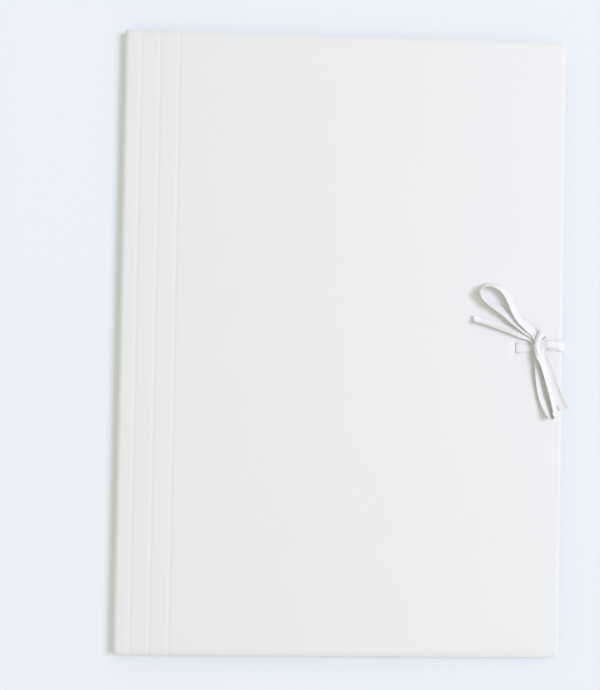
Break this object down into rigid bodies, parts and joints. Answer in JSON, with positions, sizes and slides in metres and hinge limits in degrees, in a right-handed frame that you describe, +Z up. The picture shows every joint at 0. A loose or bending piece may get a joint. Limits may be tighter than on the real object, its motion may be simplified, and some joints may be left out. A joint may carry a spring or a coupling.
{
  "type": "tied card folder",
  "caption": "Flat A4 document folder of folded white card with scored lines by the spine, tied shut at the fore-edge with a narrow ribbon bow.",
  "frame": {"origin": "centre of the back cover's underside, on the surface that the folder lies on", "axes": "+Z up out of the front cover, +Y along the long side, +X from the spine to the fore-edge"},
  "size_m": [0.2331, 0.32, 0.0104],
  "materials": {
    "card": "matt",
    "ribbon": "soft sheen"
  },
  "bodies": {
    "root": {"folder_card": "card", "front_tie": "ribbon", "back_tie": "ribbon"}
  },
  "joints": []
}
